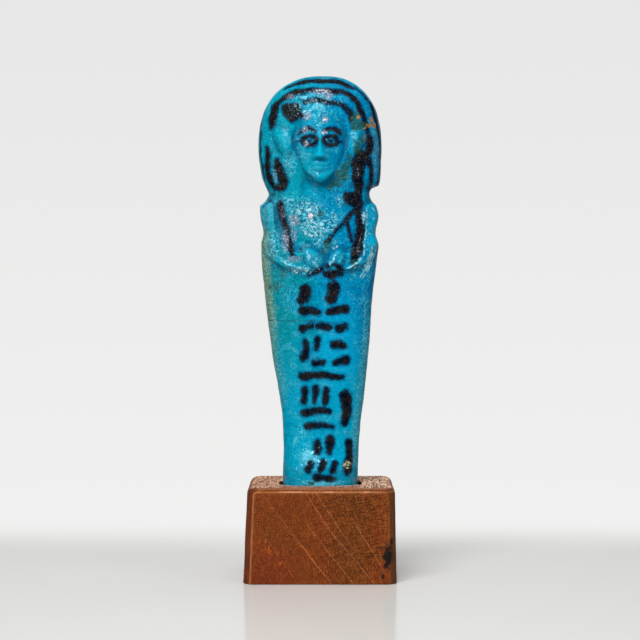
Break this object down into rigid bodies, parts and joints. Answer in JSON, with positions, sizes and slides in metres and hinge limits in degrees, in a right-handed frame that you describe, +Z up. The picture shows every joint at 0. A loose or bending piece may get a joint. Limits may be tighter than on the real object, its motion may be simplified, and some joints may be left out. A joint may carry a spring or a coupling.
{
  "type": "ushabti figurine",
  "caption": "Blue-glazed mummy-shaped funerary figurine with a striped wig and folded arms, standing in a socket in a tapered wooden block",
  "frame": {"origin": "centre of the block's underside, on the surface that the object stands on", "axes": "+Z runs up the figure, the figure faces -Y, and +X is on the right of someone who looks at its face"},
  "size_m": [0.0422, 0.035, 0.14],
  "materials": {
    "faience_glaze": "bright blue self-glazed composition with black brush-painted details, worn pale patches, orange dirt and a pitted, softly glossy surface",
    "block_wood": "oiled reddish-brown hardwood, end grain to the front, fine saw marks, lighter worn edges and a dark scorched chip on one corner"
  },
  "bodies": {
    "root": {"ushabti_figurine": "faience_glaze", "wooden_block": "block_wood"}
  },
  "joints": []
}
